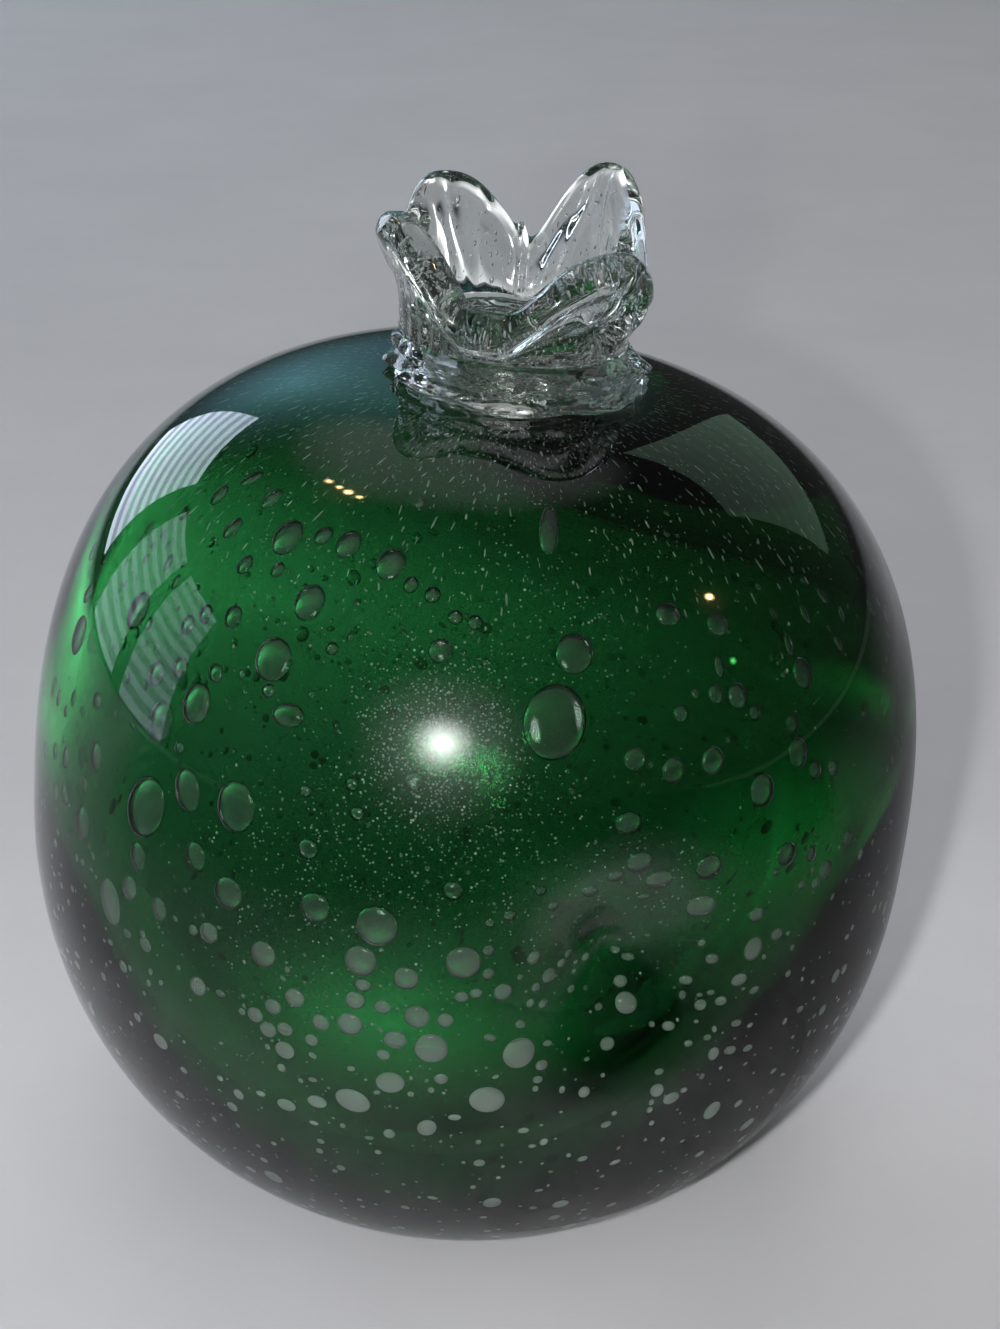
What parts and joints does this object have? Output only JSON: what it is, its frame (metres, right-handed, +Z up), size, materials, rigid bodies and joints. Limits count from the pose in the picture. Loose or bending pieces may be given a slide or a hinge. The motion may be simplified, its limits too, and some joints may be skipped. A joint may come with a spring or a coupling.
{
  "type": "blown glass pomegranate paperweight",
  "caption": "Hollow blown-glass pomegranate, dark green cased in bubbly clear glass, with a clear lobed crown and a ground foot.",
  "frame": {"origin": "on the ground foot, under the middle of the globe's widest ring", "axes": "+Z up from the foot, -Y to the front with the dent, +X to the side that the crown leans to"},
  "size_m": [0.1104, 0.1096, 0.1297],
  "materials": {
    "green_glass": "deep transparent green, smooth",
    "casing_glass": "clear and glossy, full of trapped bubbles",
    "seedy_glass": "clear, lumpy and seedy",
    "crown_glass": "clear, fire-polished"
  },
  "bodies": {
    "root": {"green_bubble": "green_glass", "clear_casing": "casing_glass", "crown_collar": "seedy_glass", "crown_cup": "crown_glass"}
  },
  "joints": []
}
